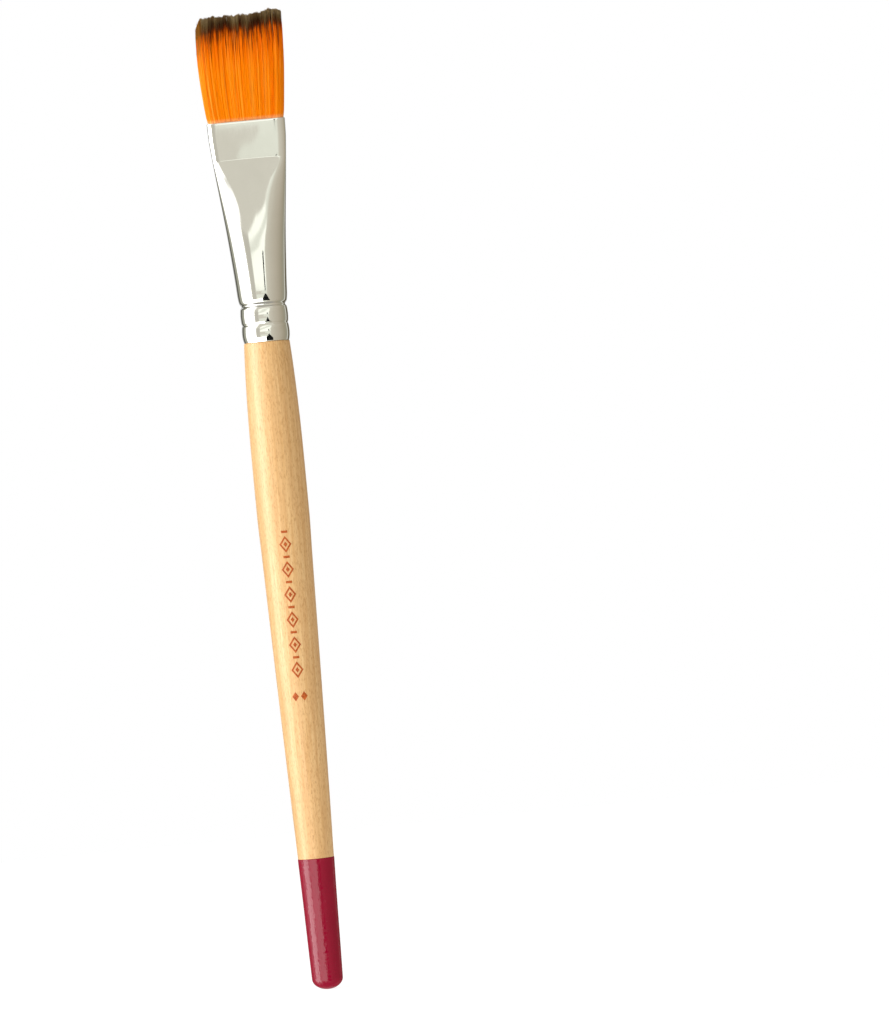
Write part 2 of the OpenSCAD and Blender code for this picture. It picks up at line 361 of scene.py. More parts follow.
def make_world():
    """The camera sees plain white, and everything else sees the studio."""
    world = bpy.data.worlds.new("studio")
    world.use_nodes = True
    tree = world.node_tree
    tree.nodes.clear()
    ray = add(tree, "LightPath").outputs
    seen = mixed(tree, ray["Is Camera Ray"], studio_light(tree), WHITE)
    strength = ranged(tree, ray["Is Diffuse Ray"], 0.0, 1.0, 1.0, DULL_SHARE)
    background = add(tree, "Background", {"Color": seen, "Strength": strength})
    output = add(tree, "OutputWorld")
    tree.links.new(background.outputs["Background"], output.inputs["Surface"])
    bpy.context.scene.world = world
    bpy.context.scene.view_settings.view_transform = "Standard"
    bpy.context.scene.view_settings.look = "None"


# Soft lights: azimuth, elevation, distance, width, height, brightness, and what they show in.
# The key light shapes the dull surfaces, and the two others only show as highlights in the lacquer.
LIGHTS = {
    "key_light": (-47, 16, 0.9, 0.5, 0.5, 5.3, "diffuse"),
    "left_strip": (-70, 0, 0.6, 0.42, 0.9, 6.5, "gloss"),
    "low_card": (-22, -14, 0.3, 0.26, 0.2, 3.2, "gloss"),
}
# Height of the place on the brush's axis that each light faces.
LIT_Z = {"key_light": cad_high.z / 2, "left_strip": DIP_TOP_Z, "low_card": DIP_TOP_Z}


def make_lights():
    for name, (azimuth, elevation, away, width, height, brightness, shows_in) in LIGHTS.items():
        light = bpy.data.lights.new(name, "AREA")
        light.shape = "RECTANGLE"
        light.size = width
        light.size_y = height
        light.energy = brightness * math.pi * width * height
        lamp = bpy.data.objects.new(name, light)
        turn, rise = math.radians(azimuth), math.radians(elevation)
        level = math.cos(rise)
        direction = Vector((math.sin(turn) * level, -math.cos(turn) * level, math.sin(rise)))
        lamp.location = Vector((0, 0, LIT_Z[name])) + direction * away
        lamp.rotation_euler = (math.pi / 2 - rise, 0, turn)
        lamp.visible_camera = False
        lamp.visible_glossy = shows_in == "gloss"
        lamp.visible_diffuse = shows_in == "diffuse"
        bpy.context.scene.collection.objects.link(lamp)


FLOOR_REACH = 0.6
FLOOR_GAP = 0.05 * MM
FLOOR_GLOW = 0.9
FLOOR_MAT = (0.4, 0.4, 0.4, 1)


def floor_material():
    """A floor that is nearly white by itself, and still takes a faint shadow."""
    material, tree = new_material("pale_floor")
    glow = add(tree, "Emission", {"Color": WHITE, "Strength": FLOOR_GLOW})
    mat = add(tree, "BsdfDiffuse", {"Color": FLOOR_MAT})
    both = add(tree, "AddShader")
    tree.links.new(glow.outputs[0], both.inputs[0])
    tree.links.new(mat.outputs[0], both.inputs[1])
    output = add(tree, "OutputMaterial")
    tree.links.new(both.outputs[0], output.inputs["Surface"])
    return material


def make_floor():
    mesh = bpy.data.meshes.new("floor")
    reach = FLOOR_REACH
    corners = [(-reach, -reach, 0), (reach, -reach, 0), (reach, reach, 0), (-reach, reach, 0)]
    mesh.from_pydata(corners, [], [(0, 1, 2, 3)])
    mesh.materials.append(floor_material())
    floor = bpy.data.objects.new("floor", mesh)
    floor.location.z = cad_low.z - FLOOR_GAP
    floor.visible_glossy = False
    bpy.context.scene.collection.objects.link(floor)


# ---------------------------------------------------------------- mesh helpers


def make_piece(name, points, faces, material):
    mesh = bpy.data.meshes.new(name)
    mesh.from_pydata(np.asarray(points).tolist(), [], faces)
    mesh.validate()
    mesh.shade_smooth()
    mesh.materials.append(material)
    piece = bpy.data.objects.new(name, mesh)
    bpy.context.scene.collection.objects.link(piece)
    return piece


def ring_faces(rows, columns):
    """Quads of a tube whose points are rows of columns points, each row a closed ring."""
    row, column = np.meshgrid(np.arange(rows - 1), np.arange(columns), indexing="ij")
    here = row * columns + column
    beside = row * columns + (column + 1) % columns
    return np.stack([here, beside, beside + columns, here + columns], -1).reshape(-1, 4)


def catmull_rom(points, per_step):
    """Smooth curve through points (rows), with per_step steps between each two."""
    padded = np.vstack([2 * points[0] - points[1], points, 2 * points[-1] - points[-2]])
    knots = np.concatenate([[0], np.cumsum(np.linalg.norm(np.diff(padded, axis=0), axis=1))])
    slopes = (padded[2:] - padded[:-2]) / (knots[2:] - knots[:-2])[:, None]
    steps = np.diff(knots[1:-1])[:, None, None]
    t = np.linspace(0, 1, per_step, endpoint=False)[None, :, None]
    start, end = points[:-1, None, :], points[1:, None, :]
    leave, arrive = slopes[:-1, None, :] * steps, slopes[1:, None, :] * steps
    curve = ((2 * t**3 - 3 * t**2 + 1) * start + (t**3 - 2 * t**2 + t) * leave
             + (3 * t**2 - 2 * t**3) * end + (t**3 - t**2) * arrive)
    return np.vstack([curve.reshape(-1, points.shape[1]), points[-1]])


# Points of the CAD whose heights differ by less than this lie on one level.
LEVEL_DIGITS = 6
LEVEL_GAP = 1e-6


def node_points(node):
    return np.array([v.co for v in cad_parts[node].data.vertices]).reshape(-1, 3)


def cad_sizes(node, low, high):
    """Height, half width and half depth of a CAD node at each level where it has points."""
    points = node_points(node)
    points = points[(points[:, 2] > low - LEVEL_GAP) & (points[:, 2] < high + LEVEL_GAP)]
    levels = np.round(points[:, 2], LEVEL_DIGITS)
    return np.array([
        (z, np.abs(points[levels == z, 0]).max(), np.abs(points[levels == z, 1]).max())
        for z in np.unique(levels)
    ])


def turned(name, outline, material, columns=128):
    """Closed solid of revolution. outline runs from pole to pole as (radius, height) rows."""
    inner = outline[1:-1]
    angle = np.arange(columns) * 2 * math.pi / columns
    rings = np.stack([
        inner[:, 0, None] * np.cos(angle),
        inner[:, 0, None] * np.sin(angle),
        np.repeat(inner[:, 1, None], columns, 1),
    ], -1).reshape(-1, 3)
    points = np.vstack([rings, [(0, 0, outline[0, 1]), (0, 0, outline[-1, 1])]])
    faces = ring_faces(len(inner), columns).tolist()
    low_pole, high_pole = len(rings), len(rings) + 1
    last = (len(inner) - 1) * columns
    for column in range(columns):
        beside = (column + 1) % columns
        faces.append((low_pole, beside, column))
        faces.append((high_pole, last + column, last + beside))
    return make_piece(name, points, faces, material)


def cad_profile(node):
    """Height and radius of a round CAD node at each level where it has points."""
    points = node_points(node)
    levels = np.round(points[:, 2], LEVEL_DIGITS)
    reach = np.hypot(points[:, 0], points[:, 1])
    return np.array([(z, reach[levels == z].max()) for z in np.unique(levels)])


def smooth_step(value, low, high):
    """0 up to low, 1 from high on, and a smooth rise between them."""
    t = np.clip((value - low) / (high - low), 0, 1)
    return t**3 * (10 - 15 * t + 6 * t**2)


# ---------------------------------------------------------------- handle

WOOD_STEPS = 6
EDGE_ROUND = 0.1 * MM


def wood_curve():
    """Smooth height and radius of the visible wood, from the tail to the rim of the ferrule."""
    profile = cad_profile("handle")
    seen = profile[profile[:, 0] < RIM_Z + LEVEL_GAP]
    return catmull_rom(seen[1:], WOOD_STEPS)


def wood_radius(curve, z):
    return np.interp(z, curve[:, 0], curve[:, 1])


def make_handle(curve):
    profile = cad_profile("handle")
    tenon = profile[profile[:, 0] > RIM_Z + LEVEL_GAP]
    low = profile[0, 0]
    corner = curve[-1, 1]
    turn = np.radians([0, 30, 60, 90])[:, None]
    shoulder = np.hstack([
        RIM_Z - EDGE_ROUND * (1 - np.sin(turn)),
        corner - EDGE_ROUND * (1 - np.cos(turn)),
    ])
    side = curve[curve[:, 0] < RIM_Z - EDGE_ROUND]
    outline = np.vstack([
        [(low, 0)], side, shoulder, [(RIM_Z, tenon[0, 1])], tenon, [(tenon[-1, 0], 0)]
    ])[:, ::-1]
    piece = turned("handle_wood", outline, wood_material())
    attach(piece, "brush")
    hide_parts("handle")


LACQUER = 0.08 * MM
DIP_STEP = 0.16 * MM
DOME_TALL = 2.3 * MM
# The dip follows a smooth trend of the wood between two heights, and swells towards the tail: by
# how much, at which height, and from and to which height the swell dies out.
TREND_LOW, TREND_HIGH = 3 * MM, 40 * MM
SWELL, SWELL_AT, SWELL_FADE = 0.24 * MM, 3 * MM, (-8 * MM, 29 * MM)
# The rounded top edge: height above the wall in millimetres, and share of the lacquer's thickness.
EDGE_TALL = 0.2 * MM
DIP_EDGE = [(0.08, 0.96), (0.14, 0.75), (0.18, 0.4), (0.2, 0)]
# Low bumps of dust, between two heights in millimetres.
BUMP_COUNT = 26
BUMP_HEIGHT = 0.025 * MM
BUMP_WIDTH = 0.2 * MM
BUMPS_WITHIN = (3, 26)


def dusty(points, curve):
    """The dip's points, with low bumps on its outer side."""
    rng = np.random.default_rng(5)
    reach = np.hypot(points[:, 0], points[:, 1])
    outer = reach > wood_radius(curve, points[:, 2]) + LACQUER / 2
    for _ in range(BUMP_COUNT):
        z = rng.uniform(*BUMPS_WITHIN) * MM
        angle = rng.uniform(0, 2 * math.pi)
        radius = wood_radius(curve, z)
        centre = np.array([radius * math.cos(angle), radius * math.sin(angle), z])
        away = np.linalg.norm(points - centre, axis=1) / BUMP_WIDTH
        lift = BUMP_HEIGHT * rng.uniform(0.4, 1) * np.exp(-away**2) * outer
        points[:, :2] *= (1 + lift / np.maximum(reach, MM))[:, None]
    return points


def make_dip(curve):
    """Thick lacquer over the tail, with a rounded edge and a few dust bumps."""
    top = DIP_TOP_Z - EDGE_TALL
    near = (curve[:, 0] > TREND_LOW) & (curve[:, 0] < TREND_HIGH)
    trend = np.polyfit(curve[near, 0], curve[near, 1], 3)
    full_swell = 1 - smooth_step(SWELL_AT, *SWELL_FADE)

    def reach_at(z):
        swell = SWELL * (1 - smooth_step(z, *SWELL_FADE)) / full_swell
        return np.polyval(trend, z) + LACQUER + swell

    heights = np.arange(DOME_TALL, top, DIP_STEP)
    wall = np.stack([heights, reach_at(heights)], -1)
    turn = np.radians(np.arange(4, 90, 4))
    dome = np.stack([cad_low.z + DOME_TALL * (1 - np.cos(turn)), wall[0, 1] * np.sin(turn)], -1)
    under = curve[curve[:, 0] < top][::-1]
    wood_there = wood_radius(curve, top)
    edge = [(top + up * MM, wood_there + LACQUER * share) for up, share in DIP_EDGE]
    outline = np.vstack([
        [(cad_low.z, 0)], dome, wall, edge, under, [(cad_low.z + LACQUER, 0)]
    ])[:, ::-1]
    piece = turned("dip_lacquer", outline, dip_material())
    points = np.array([v.co for v in piece.data.vertices])
    piece.data.vertices.foreach_set("co", dusty(points, curve).ravel())
    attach(piece, "brush")
    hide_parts("dip_coat")


# ---------------------------------------------------------------- foil marks

FOIL_T = 0.03 * MM
FOIL_SUNK = 0.02 * MM


def on_wood(curve, x, z, lift):
    radius = wood_radius(curve, z) + lift
    return np.stack([x, -np.sqrt(radius**2 - x**2), z], -1)


def slab(curve, corners, cells):
    """Points and faces of a thin closed patch on the wood, between four corners (x, z)."""
    size = cells + 1
    u, v = np.meshgrid(np.linspace(0, 1, size), np.linspace(0, 1, size), indexing="ij")
    a, b, c, d = np.asarray(corners)
    flat = (a * ((1 - u) * (1 - v))[..., None] + b * (u * (1 - v))[..., None]
            + c * (u * v)[..., None] + d * ((1 - u) * v)[..., None])
    x, z = flat[..., 0], flat[..., 1]
    sheets = [on_wood(curve, x, z, lift).reshape(-1, 3) for lift in (FOIL_T, -FOIL_SUNK)]
    index = np.arange(size * size).reshape(size, size)
    quads = np.stack([index[:-1, :-1], index[1:, :-1], index[1:, 1:], index[:-1, 1:]], -1)
    quads = quads.reshape(-1, 4)
    border = np.concatenate([index[:-1, 0], index[-1, :-1], index[:0:-1, -1], index[0, :0:-1]])
    after = np.roll(border, -1)
    below = size * size
    walls = np.stack([border, border + below, after + below, after], -1)
    return np.vstack(sheets), np.vstack([quads, quads[:, ::-1] + below, walls])


def lozenge(middle, half_width):
    x, z = middle
    half_height = half_width * FOIL_TALL
    return [(x + half_width, z), (x, z + half_height), (x - half_width, z), (x, z - half_height)]


def upright_bar(z):
    """Corners of a bar on the middle line, around a height."""
    half_width, half_height = FOIL_BAR[0] / 2, FOIL_BAR[1] / 2
    low, high = z - half_height, z + half_height
    return [(-half_width, low), (half_width, low), (half_width, high), (-half_width, high)]


def open_lozenge(curve, outer, inner, steps=10):
    """Points and faces of the closed line between two lozenges."""
    t = np.linspace(0, 1, steps, endpoint=False)[:, None]

    def path(corners):
        corners = np.asarray(corners)
        return np.vstack([a * (1 - t) + b * t for a, b in zip(corners, np.roll(corners, -1, 0))])

    outer_path, inner_path = path(outer), path(inner)
    rows = [
        (outer_path, -FOIL_SUNK), (outer_path, FOIL_T),
        (inner_path, FOIL_T), (inner_path, -FOIL_SUNK),
    ]
    points = np.vstack([on_wood(curve, p[:, 0], p[:, 1], lift) for p, lift in rows])
    columns = len(outer_path)
    faces = ring_faces(len(rows), columns)
    column = np.arange(columns)
    beside = (column + 1) % columns
    last = (len(rows) - 1) * columns
    closing = np.stack([column + last, beside + last, beside, column], -1)
    return points, np.vstack([faces, closing])


def joined(shapes):
    points, faces, start = [], [], 0
    for shape_points, shape_faces in shapes:
        points.append(shape_points)
        faces += (np.asarray(shape_faces) + start).tolist()
        start += len(shape_points)
    return np.vstack(points), faces


def make_foil(name, node, shapes):
    points, faces = joined(shapes)
    piece = make_piece(name, points, faces, foil_material())
    piece.data.shade_flat()
    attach(piece, "brush")
    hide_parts(node)


# Lozenges are given by their half width, and are taller by FOIL_TALL. Each link of the chain is an
# open lozenge with a line of FOIL_LINE, a small full one in it, and a bar above.
FOIL_HALF = 1.25 * MM
FOIL_TALL = 1.4
FOIL_LINE = 0.42 * MM
FOIL_LINKS = 6
FOIL_PITCH = 5.2 * MM
FOIL_BAR = (1.3 * MM, 0.5 * MM)
LINK_CELLS = 4
SIZE_MARK_HALF = 0.7 * MM
SIZE_MARK_CELLS = 8


def make_foil_marks(curve):
    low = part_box("foil_border")[0].z + FOIL_HALF * FOIL_TALL
    chain = []
    for link in range(FOIL_LINKS):
        z = low + link * FOIL_PITCH
        outer, inner, eye = [lozenge((0, z), FOIL_HALF - step * FOIL_LINE) for step in range(3)]
        chain.append(open_lozenge(curve, outer, inner))
        chain.append(slab(curve, eye, LINK_CELLS))
        chain.append(slab(curve, upright_bar(z + FOIL_PITCH / 2), LINK_CELLS))
    make_foil("foil_border_marks", "foil_border", chain)
    mark_low, mark_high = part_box("foil_size_mark")
    z = (mark_low.z + mark_high.z) / 2
    x = mark_high.x - SIZE_MARK_HALF
    pair = [lozenge((side * x, z), SIZE_MARK_HALF) for side in (-1, 1)]
    marks = [slab(curve, corners, SIZE_MARK_CELLS) for corners in pair]
    make_foil("foil_size_marks", "foil_size_mark", marks)


# ---------------------------------------------------------------- ferrule

QUARTER = 60
WALL = 0.35 * MM
LIP = 0.12 * MM
FERRULE_STEP = 0.1 * MM
CURVE_STEPS = 12
COLLAR_LEN = 10 * MM
# Radius of the collar without its crimps: height above the rim, radius.
COLLAR = np.array([
    (0, 4.66), (0.9, 4.88), (1.9, 4.96), (2.9, 4.92), (3.75, 4.84), (4.7, 4.93), (5.7, 4.97),
    (6.7, 4.9), (7.6, 4.84), (8.6, 5.02), (9.3, 5.13), (10, 5.2),
]) * MM
# Crimps: height above the rim, depth, spread below and above.
CRIMPS = np.array([(3.75, 0.13, 0.14, 0.14), (7.65, 0.32, 0.24, 0.3)]) * MM
SOFTENING = 0.24 * MM
# The faces slant in from the mouth to a crease, partly evenly and partly more and more. Below the
# crease they come out again.
CREASE_Z = MOUTH_Z - 7.9 * MM
PRESSED_IN = 0.38 * MM
PRESS_FADE = 3 * MM
EVEN_SLANT = 0.25
# The section has flat faces above the crease and grows round below it, over about this length.
FACE_POWER = 3.3
SHOULDER = 4.2 * MM
SHOULDER_ABOVE = 0.8 * MM
FADE_POWER = 1.6
# Rows of points lie close together at the crease.
CREASE_ROWS = np.array([-0.12, -0.04, 0.04, 0.12]) * MM
CREASE_CLEAR = 0.3 * MM
ROWS_BELOW, ROWS_ABOVE, ROWS_INSIDE = 90, 24, 60
SECTION_STEPS = 600
PLUG_GAP = 0.04 * MM
PLUG_EDGE = 0.3 * MM
PLUG_ROWS = 12


def fading(distance, length):
    """1 up to a distance of 0, and falling smoothly to 0 over a few lengths."""
    return np.exp(-((np.maximum(distance, 0) / length) ** FADE_POWER))


def softened(values, step):
    """Values in even steps of height, blurred over the softening length."""
    reach = int(3 * SOFTENING / step)
    kernel = np.exp(-0.5 * (np.arange(-reach, reach + 1) * step / SOFTENING) ** 2)
    padded = np.concatenate([
        2 * values[0] - values[reach:0:-1], values, 2 * values[-1] - values[-2:-reach - 2:-1]
    ])
    return np.convolve(padded, kernel / kernel.sum(), "valid")


def pressed_in(z, b):
    """Half thickness b at the heights z, with the faces pressed in towards the crease."""
    below = b - PRESSED_IN * fading(CREASE_Z - z, PRESS_FADE)
    down = (MOUTH_Z - z) / (MOUTH_Z - CREASE_Z)
    slant = EVEN_SLANT * down + (1 - EVEN_SLANT) * down**2
    above = b[-1] + (np.interp(CREASE_Z, z, below) - b[-1]) * slant
    return np.where(z > CREASE_Z, above, below)


def ferrule_sizes():
    """Heights from the rim to the mouth, and the half width and half thickness of the metal."""
    upper = catmull_rom(cad_sizes("ferrule", RIM_Z + COLLAR_LEN, MOUTH_Z), CURVE_STEPS)
    z = np.linspace(RIM_Z, MOUTH_Z, int(round((MOUTH_Z - RIM_Z) / FERRULE_STEP)) + 1)
    collar = catmull_rom(COLLAR, CURVE_STEPS)
    round_part = np.interp(z - RIM_Z, collar[:, 0], collar[:, 1])
    above = z > RIM_Z + COLLAR_LEN
    a = np.where(above, np.interp(z, upper[:, 0], upper[:, 1]), round_part)
    b = np.where(above, np.interp(z, upper[:, 0], upper[:, 2]), round_part)
    a, b = softened(a, FERRULE_STEP), pressed_in(z, softened(b, FERRULE_STEP))
    for middle, depth, below, over in CRIMPS:
        off = z - RIM_Z - middle
        groove = depth * np.exp(-0.5 * (off / np.where(off < 0, below, over)) ** 2)
        a, b = a - groove, b - groove
    return z, a, b


def section(a, b, power):
    """Closed ring of an oval, evenly spaced along its edge, starting at its right end. It is an
    ellipse where power is 2, and flatter on its faces where power is larger."""
    turn = np.linspace(0, math.pi / 2, SECTION_STEPS)
    fine = np.stack([a * np.cos(turn) ** (2 / power), b * np.sin(turn) ** (2 / power)], -1)
    along = np.concatenate([[0], np.cumsum(np.linalg.norm(np.diff(fine, axis=0), axis=1))])
    even = np.linspace(0, along[-1], QUARTER + 1)
    first = np.stack([np.interp(even, along, fine[:, axis]) for axis in (0, 1)], -1)
    second = first[::-1] * (-1, 1)
    return np.vstack([first[:-1], second[:-1], -first[:-1], -second[:-1]])


def roundness(height):
    """Power of the ferrule's oval section at a height."""
    return 2 + (FACE_POWER - 2) * fading(CREASE_Z + SHOULDER_ABOVE - height, SHOULDER)


def ferrule_ring(sizes, height, inset):
    z, a, b = sizes
    half_width, half_depth = np.interp(height, z, a) - inset, np.interp(height, z, b) - inset
    ring = section(half_width, half_depth, roundness(height))
    return np.hstack([ring, np.full((len(ring), 1), height)])


def make_ferrule(sizes):
    """The metal tube: up its outer side, over the mouth, down the inner side and under the rim."""
    outer_z = np.concatenate([
        np.arange(RIM_Z + LIP, RIM_Z + COLLAR_LEN, FERRULE_STEP),
        np.linspace(RIM_Z + COLLAR_LEN, CREASE_Z - CREASE_CLEAR, ROWS_BELOW),
        CREASE_Z + CREASE_ROWS,
        np.linspace(CREASE_Z + CREASE_CLEAR, MOUTH_Z - LIP, ROWS_ABOVE),
    ])
    inner_z = np.linspace(MOUTH_Z - LIP, RIM_Z + LIP, ROWS_INSIDE)
    over = np.radians(np.arange(15, 180, 15))
    levels = [(z, 0) for z in outer_z]
    levels += [(MOUTH_Z - LIP + LIP * math.sin(t), WALL / 2 * (1 - math.cos(t))) for t in over]
    levels += [(z, WALL) for z in inner_z]
    levels += [(RIM_Z + LIP - LIP * math.sin(t), WALL / 2 * (1 + math.cos(t))) for t in over]
    points = np.vstack([ferrule_ring(sizes, z, inset) for z, inset in levels])
    faces = ring_faces(len(levels) + 1, 4 * QUARTER) % len(points)
    piece = make_piece("ferrule_shell", points, faces.tolist(), metal_material())
    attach(piece, "brush")
    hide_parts("ferrule")


def make_plug(sizes):
    """The resin inside the ferrule, with rounded edges."""
    low, high = [corner.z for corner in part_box("epoxy_plug")]
    side = np.linspace(low + PLUG_EDGE, high - PLUG_EDGE, PLUG_ROWS)
    levels = [(low, WALL + PLUG_EDGE)]
    levels += [(z, WALL + PLUG_GAP) for z in side]
    levels += [(high, WALL + PLUG_EDGE)]
    points = np.vstack([ferrule_ring(sizes, z, inset) for z, inset in levels])
    columns = 4 * QUARTER
    faces = ring_faces(len(levels), columns).tolist()
    faces.append(tuple(range(columns))[::-1])
    faces.append(tuple(range(len(points) - columns, len(points))))
    resin = plain_inside("amber_resin", rgb(150, 92, 30), rgb(196, 134, 54), 0.25)
    piece = make_piece("resin_plug", points, faces, resin)
    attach(piece, "brush")
    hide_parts("epoxy_plug")


# ---------------------------------------------------------------- tuft

# Each lock is a mesh of filaments. A filament's place is a share across the tuft, from -1 at its
# left edge to 1 at its right, and a share through its depth, from -1 to 1.

# Outline of the tuft: height above the mouth, half width, and how far its middle lies to the right.
TUFT = np.array([
    (-12, 6.6, 0), (-8, 7.25, 0), (-3, 7.6, 0), (0, 7.78, 0), (1, 8.0, 0), (3.8, 8.3, 0.01),
    (8, 8.65, 0.045), (12, 8.9, 0.115), (15.2, 8.98, 0.2), (18, 8.98, 0.31), (22.5, 8.85, 0.48),
]) * MM
# Half thickness above the mouth.
DEPTH = np.array([
    (-12, 2.0), (-8, 1.1), (-3, 1.35), (0, 1.5), (1, 1.7), (4, 1.74), (9, 1.66), (14, 1.4),
    (18, 1.05), (20.5, 0.8), (22.5, 0.6),
]) * MM
FREE_LENGTH = 22.5 * MM
# Rows of points: heights in the ferrule, and shares of the free length above the mouth.
HELD_ROWS = np.array([-11.8, -7.9, -3.0]) * MM
FREE_SHARES = np.array([0, 0.07, 0.14, 0.21, 0.28, 0.38, 0.5, 0.62, 0.74, 0.84, 0.92, 0.97, 1.0])
FILAMENTS = 480
CLUMPS = 36
SIDES = 5
FILAMENT_R = 0.069 * MM
TIP_R = 0.016 * MM
TAPER_FROM = 0.6
# Half width and half depth of the bundle, and length of its round ends, in millimetres.
BUNDLE_HALF, BUNDLE_DEEP, BUNDLE_END = 7.78, 1.6, 1.58
# How nearly the round ends close, above the mouth and inside the ferrule.
END_CLOSES, HELD_CLOSES = 0.97, 0.93
# Towards their tips filaments gather by this much to the middle of their clump.
GATHER, GATHER_FROM = 0.22, 0.55
# How far tips stand below the outline in millimetres: a clump's at most, the spread of single ones,
# those at the front and back, and the broken ones with their share.
CLUMP_DROP, TIP_SPREAD, FACE_DROP, SHORT_DROP, SHORT_SHARE = 0.2, 0.12, 0.3, 2.6, 0.2
# Waviness and slant of single filaments.
SWAY, SWAY_TURNS, SLANT = 0.035 * MM, 9, 0.09
# The tuft's top edge above the mouth, in millimetres: its height at the left, how much higher it is
# at the right and between which shares it rises, its waves, and the start and fall of its corners.
TOP_LEVEL, TOP_RISE, RISE_BETWEEN = 22.25, 0.6, (0.3, 0.8)
TOP_WAVES = [(0.12, 19, 0.6), (0.1, 43, 2), (0.06, 71, 0)]
LEFT_CORNER, RIGHT_CORNER = (0.83, 2.3), (0.9, 0.9)
# Length of dyed tip in millimetres, its spread, and the share and length of deeper streaks.
DYED, DYED_SPREAD, STREAK_SHARE, STREAK = 4.1, 0.5, 0.24, 7.5
# Tone of the orange: how much it changes between clumps, and between filaments.
TONE_MIDDLE, TONE_CLUMP, TONE_OWN = 0.5, 0.08, 0.11
# Share of painted highlight on the dyed tips, shown as paler patches: its broad waves, and its change
# between clumps and between filaments.
PATCH_MIDDLE, PATCH_CLUMP, PATCH_OWN = 0.45, 0.16, 0.2
PATCH_WAVES = [(0.26, 7.3, 1.9), (0.2, 17, 4.1)]
# The tips grow golden between these shares, at the left edge.
GOLD = (0.82, 0.94)


def waves(share, parts):
    """Sum of sine waves across the tuft, each given by its height, fineness and start."""
    return sum(tall * np.sin(fineness * share + start) for tall, fineness, start in parts)


def corner_fall(share, start, fall):
    """0 up to the start of a corner, and growing to the fall at share 1."""
    return fall * np.maximum((share - start) / (1 - start), 0) ** 2


def tip_height(share):
    """Height of the tuft's top edge above the mouth, at a share across."""
    level = TOP_LEVEL + TOP_RISE * smooth_step(share, *RISE_BETWEEN) + waves(share, TOP_WAVES)
    level = level - corner_fall(-share, *LEFT_CORNER)
    return (level - corner_fall(share, *RIGHT_CORNER)) * MM


def scattered(rng, low, high):
    """Shares across, between low and high, and shares through the depth of a lock's filaments."""
    share = low + (high - low) * (np.arange(FILAMENTS) + rng.uniform(0, 1, FILAMENTS)) / FILAMENTS
    rng.shuffle(share)
    deep = rng.uniform(-1, 1, FILAMENTS)
    deep = np.sign(deep) * np.sqrt(np.abs(deep))
    # Near the ends of the oval there is less depth.
    flat_end = 1 - BUNDLE_END / BUNDLE_HALF
    bend = np.clip((np.abs(share) - flat_end) / (1 - flat_end), 0, 1)
    return share, deep * np.sqrt(1 - (bend * END_CLOSES) ** 2)


def clumped(rng, low, high, share, deep):
    """Place and traits of the clump that each filament lies nearest to."""
    clump_share = rng.uniform(low, high, CLUMPS)
    clump_deep = rng.uniform(-1, 1, CLUMPS)
    across = (share[:, None] - clump_share) * BUNDLE_HALF
    through = (deep[:, None] - clump_deep) * BUNDLE_DEEP
    nearest = (across**2 + through**2).argmin(1)
    traits = {
        "share": clump_share,
        "deep": clump_deep,
        "drop": rng.uniform(0, CLUMP_DROP, CLUMPS) * MM,
        "tone": rng.normal(0, 1, CLUMPS),
        "dye": rng.normal(0, DYED_SPREAD, CLUMPS) * MM,
        "highlight_patch": rng.normal(0, 1, CLUMPS),
    }
    return {name: values[nearest] for name, values in traits.items()}


def tip_heights(rng, share, deep, clump):
    """Height of each tip above the mouth."""
    spread = np.abs(rng.normal(0, TIP_SPREAD, FILAMENTS)) * MM
    drop = clump["drop"] + spread + FACE_DROP * MM * deep**2
    short = rng.uniform(0, 1, FILAMENTS) < SHORT_SHARE
    drop = drop + short * rng.uniform(0, SHORT_DROP, FILAMENTS) * MM
    return tip_height(share) - drop


def filament_paths(rng, share, deep, clump, height):
    """Points of each filament at its rows of heights above the mouth."""
    held = len(HELD_ROWS)
    free = np.clip(height / FREE_LENGTH, 0, 1)
    gather = GATHER * smooth_step(free, GATHER_FROM, 1.0)
    u = share[:, None] + (clump["share"] - share)[:, None] * gather
    v = deep[:, None] + (clump["deep"] - deep)[:, None] * gather
    half = np.interp(height, TUFT[:, 0], TUFT[:, 1])
    shift = np.interp(height, TUFT[:, 0], TUFT[:, 2])
    depth = np.interp(height, DEPTH[:, 0], DEPTH[:, 1])
    phase = rng.uniform(0, 2 * math.pi, (2, FILAMENTS, 1))
    slant = rng.normal(0, SLANT, (2, FILAMENTS, 1)) * MM * free**2
    sway = SWAY * np.sin(free * SWAY_TURNS + phase) * np.sqrt(free)
    x = shift + half * u + sway[0] + slant[0]
    y = depth * v + sway[1] + slant[1]
    # Inside the ferrule the bundle follows its oval section.
    y[:, :held] *= np.sqrt(1 - (HELD_CLOSES * share[:, None]) ** 2)
    return np.stack([x, y, height + MOUTH_Z], -1)


def filament_colours(rng, share, clump, height, top):
    """What the filaments' material reads at each point, all from 0 to 1: how far along the free
    length it lies, tone of the orange, depth of the dye, painted highlight and gold of the dyed tip."""
    streak = (rng.uniform(0, 1, FILAMENTS) < STREAK_SHARE) * rng.uniform(0, STREAK, FILAMENTS)
    own = rng.normal(0, DYED_SPREAD, FILAMENTS)
    dyed = (DYED + own + streak) * MM + clump["dye"]
    tone = TONE_MIDDLE + TONE_CLUMP * clump["tone"] + TONE_OWN * rng.normal(0, 1, FILAMENTS)
    # Paler patches on the dyed tips are painted highlights.
    highlight_patch = PATCH_MIDDLE + waves(share, PATCH_WAVES) + PATCH_CLUMP * clump["highlight_patch"]
    highlight_patch = highlight_patch + PATCH_OWN * rng.normal(0, 1, FILAMENTS)
    gold = smooth_step(-share, *GOLD)
    even = np.ones_like(height)
    return {
        "along": np.clip(height / FREE_LENGTH, 0, 1),
        "tone": np.clip(tone, 0, 1)[:, None] * even,
        "dye": np.clip(1 - (top[:, None] - height) / dyed[:, None], 0, 1),
        "highlight_patch": (np.clip(highlight_patch, 0, 1) * (1 - gold))[:, None] * even,
        "gold": gold[:, None] * even,
    }


